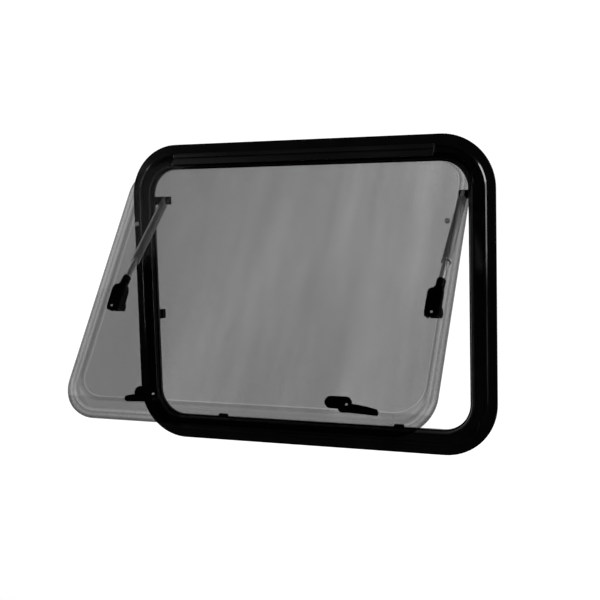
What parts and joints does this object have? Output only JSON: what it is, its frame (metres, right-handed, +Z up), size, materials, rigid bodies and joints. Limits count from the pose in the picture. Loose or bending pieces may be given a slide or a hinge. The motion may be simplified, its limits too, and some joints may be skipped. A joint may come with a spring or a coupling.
{
  "type": "caravan window",
  "caption": "Top-hung caravan window: black flanged frame with rounded corners, smoked double acrylic sash held open on telescopic stays, with swivel latches.",
  "frame": {"origin": "on the wall face of the frame's flange, at the middle of the bottom lap", "axes": "+X to the right seen from outdoors, +Y into the caravan, +Z up"},
  "size_m": [0.74, 0.3664, 0.59],
  "materials": {
    "frame_black": "satin black powder coat",
    "seal_rubber": "matt",
    "hinge_metal": "satin black with a worn light edge",
    "smoked_pane": "smoked acrylic, clear and glossy",
    "stay_tube": "satin",
    "bare_metal": "bright",
    "black_plastic": "matt"
  },
  "bodies": {
    "frame": {"frame_ring": "frame_black", "frame_spigot": "frame_black", "frame_seal": "seal_rubber", "hinge_rail": "hinge_metal", "stay_bracket_l": "black_plastic", "stay_bracket_r": "black_plastic", "latch_keeper_l": "black_plastic", "latch_keeper_r": "black_plastic", "stile_clip_l": "black_plastic", "stile_clip_r": "black_plastic"},
    "sash": {"sash_outer_sheet": "smoked_pane", "sash_inner_sheet": "smoked_pane", "hinge_strip": "hinge_metal", "stay_base_l": "black_plastic", "stay_base_r": "black_plastic", "stay_knob_l": "black_plastic", "stay_knob_r": "black_plastic", "latch_pad_l": "black_plastic", "latch_pad_r": "black_plastic", "latch_screw_l": "bare_metal", "latch_screw_r": "bare_metal", "vent_plug_l": "black_plastic", "vent_plug_r": "black_plastic"},
    "stay_tube_r": {"stay_tube_r": "stay_tube", "tube_tip_r": "bare_metal", "tube_eye_r": "bare_metal"},
    "stay_rod_r": {"stay_rod_r": "bare_metal", "rod_ferrule_r": "bare_metal", "stay_collar_r": "black_plastic", "stay_body_r": "black_plastic"},
    "latch_r": {"latch_lever_r": "black_plastic"},
    "stay_tube_l": {"stay_tube_l": "stay_tube", "tube_tip_l": "bare_metal", "tube_eye_l": "bare_metal"},
    "stay_rod_l": {"stay_rod_l": "bare_metal", "rod_ferrule_l": "bare_metal", "stay_collar_l": "black_plastic", "stay_body_l": "black_plastic"},
    "latch_l": {"latch_lever_l": "black_plastic"}
  },
  "joints": [
    {"name": "sash_hinge", "type": "hinge", "parent": "frame", "child": "sash", "pos_m": [0, -0.017, 0.556], "axis": [-1, 0, 0], "range_deg": [-35.15, 0]},
    {"name": "stay_swing_r", "type": "hinge", "parent": "frame", "child": "stay_tube_r", "pos_m": [0.307, 0.0143, 0.47], "axis": [-1, 0, 0], "range_deg": [-43.68, 0]},
    {"name": "stay_slide_r", "type": "slide", "parent": "stay_tube_r", "child": "stay_rod_r", "axis": [0, -0.7453, -0.6667], "range_m": [-0.03849, 0]},
    {"name": "latch_turn_r", "type": "hinge", "parent": "sash", "child": "latch_r", "pos_m": [0.1785, -0.28168, 0.13146], "axis": [0, 0.8176, -0.5757], "range_deg": [-11, 33]},
    {"name": "stay_swing_l", "type": "hinge", "parent": "frame", "child": "stay_tube_l", "pos_m": [-0.307, 0.0143, 0.47], "axis": [-1, 0, 0], "range_deg": [-43.68, 0]},
    {"name": "stay_slide_l", "type": "slide", "parent": "stay_tube_l", "child": "stay_rod_l", "axis": [0, -0.7453, -0.6667], "range_m": [-0.03849, 0]},
    {"name": "latch_turn_l", "type": "hinge", "parent": "sash", "child": "latch_l", "pos_m": [-0.1785, -0.28168, 0.13146], "axis": [0, -0.8176, 0.5757], "range_deg": [-11, 33]}
  ],
  "couplings": [
    {"joint": "stay_swing_r", "follows": "sash_hinge", "ratio": 1.2421},
    {"joint": "stay_slide_r", "follows": "sash_hinge", "m_per_rad": 0.062703},
    {"joint": "stay_swing_l", "follows": "sash_hinge", "ratio": 1.2421},
    {"joint": "stay_slide_l", "follows": "sash_hinge", "m_per_rad": 0.062703}
  ]
}
